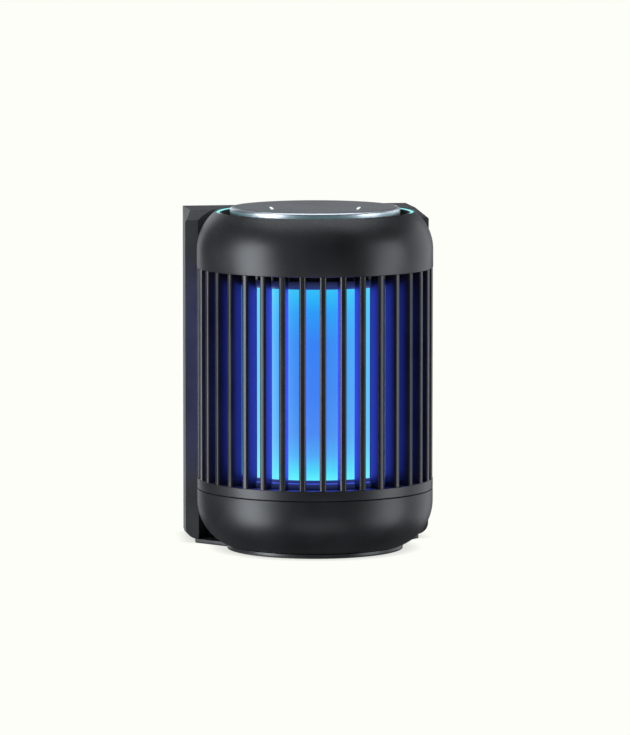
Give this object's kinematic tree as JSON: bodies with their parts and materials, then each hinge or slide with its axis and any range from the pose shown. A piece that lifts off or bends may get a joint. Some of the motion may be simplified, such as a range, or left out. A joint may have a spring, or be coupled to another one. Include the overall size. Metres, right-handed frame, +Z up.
{
  "type": "electric bug zapper",
  "caption": "Round battery bug zapper with bladed guard, violet-blue light column, shock grid and push disc, on a wall or desk charging dock.",
  "frame": {"origin": "Where the lantern's axis meets the surface that the dock's base stands on.", "axes": "The lantern's front faces -Y, +Y points to the dock and the wall, +Z is up and +X is to the right of someone facing the back of the object."},
  "size_m": [0.124, 0.127, 0.1713],
  "materials": {
    "graphite_shell": "satin",
    "graphite_dock": "satin",
    "graphite_blade": "satin",
    "black_cover": "fine texture",
    "black_moulding": "satin",
    "black_rubber": "matt",
    "red_silicone": "satin",
    "painted_steel": "satin",
    "screw_steel": "turned",
    "wire_steel": "drawn",
    "magnet_nickel": "plated",
    "gold_contact": "plated",
    "disc_slate": "glossy",
    "bright_trim": "polished",
    "ultraviolet_diffuser": "frosted",
    "translucent_holder": "frosted",
    "ring_diffuser": "frosted",
    "white_mark": "frosted",
    "heat_sink": "extruded",
    "led_board_white": "solder mask",
    "green_board": "solder mask",
    "insulator": "satin",
    "cell_wrap": "shrink film",
    "coil_tape": "tape"
  },
  "bodies": {
    "dock": {"dock_shell": "graphite_dock", "dock_back_cover": "black_cover", "dock_magnets": "magnet_nickel", "dock_contact_pins": "gold_contact", "dock_pin_block": "black_moulding", "dock_board": "green_board", "dock_port": "screw_steel", "dock_cover_screws": "screw_steel", "base_plate": "painted_steel", "base_pad": "black_rubber", "base_screws": "screw_steel", "flap_pin": "wire_steel"},
    "flap": {"port_flap": "black_rubber"},
    "tray": {"tray_bowl": "graphite_shell", "tray_seal": "red_silicone", "tray_foot": "black_rubber"},
    "lantern_head": {"guard_band": "graphite_shell", "guard_fins": "graphite_blade", "guard_top_ring": "graphite_blade", "grid_ring_lower": "insulator", "grid_ring_upper": "insulator", "grid_wires_live": "wire_steel", "grid_wires_return": "wire_steel", "lamp_seat": "translucent_holder", "lamp_tube": "ultraviolet_diffuser", "lamp_cap": "translucent_holder", "led_column": "heat_sink", "led_strips": "led_board_white", "cap_bulkhead": "black_moulding", "bulkhead_screws": "screw_steel", "battery_cells": "cell_wrap", "battery_holder": "black_moulding", "high_voltage_coil": "coil_tape", "main_board": "green_board", "board_screws": "screw_steel", "button_switch": "black_moulding", "top_cap": "graphite_shell", "contact_pads": "gold_contact", "holding_plates": "screw_steel", "disc_well": "black_moulding", "light_ring": "ring_diffuser", "ring_led_board": "led_board_white", "return_spring": "wire_steel"},
    "disc": {"control_disc": "disc_slate", "disc_trim": "bright_trim", "indicator_bars": "white_mark"}
  },
  "joints": [
    {"name": "lantern_pull", "type": "slide", "parent": "dock", "child": "tray", "axis": [0, -1, 0], "range_m": [0, 0.12]},
    {"name": "head_lift", "type": "slide", "parent": "tray", "child": "lantern_head", "axis": [0, 0, 1], "range_m": [0, 0.06]},
    {"name": "disc_press", "type": "slide", "parent": "lantern_head", "child": "disc", "axis": [0, 0, -1], "range_m": [0, 0.0012], "stiffness_N_per_m": 2500, "springref_m": -0.0004, "deforming": ["return_spring"]},
    {"name": "flap_swing", "type": "hinge", "parent": "dock", "child": "flap", "pos_m": [0.05771, 0.05667, 0.024], "axis": [0, 0, 1], "range_deg": [0, 95]}
  ]
}
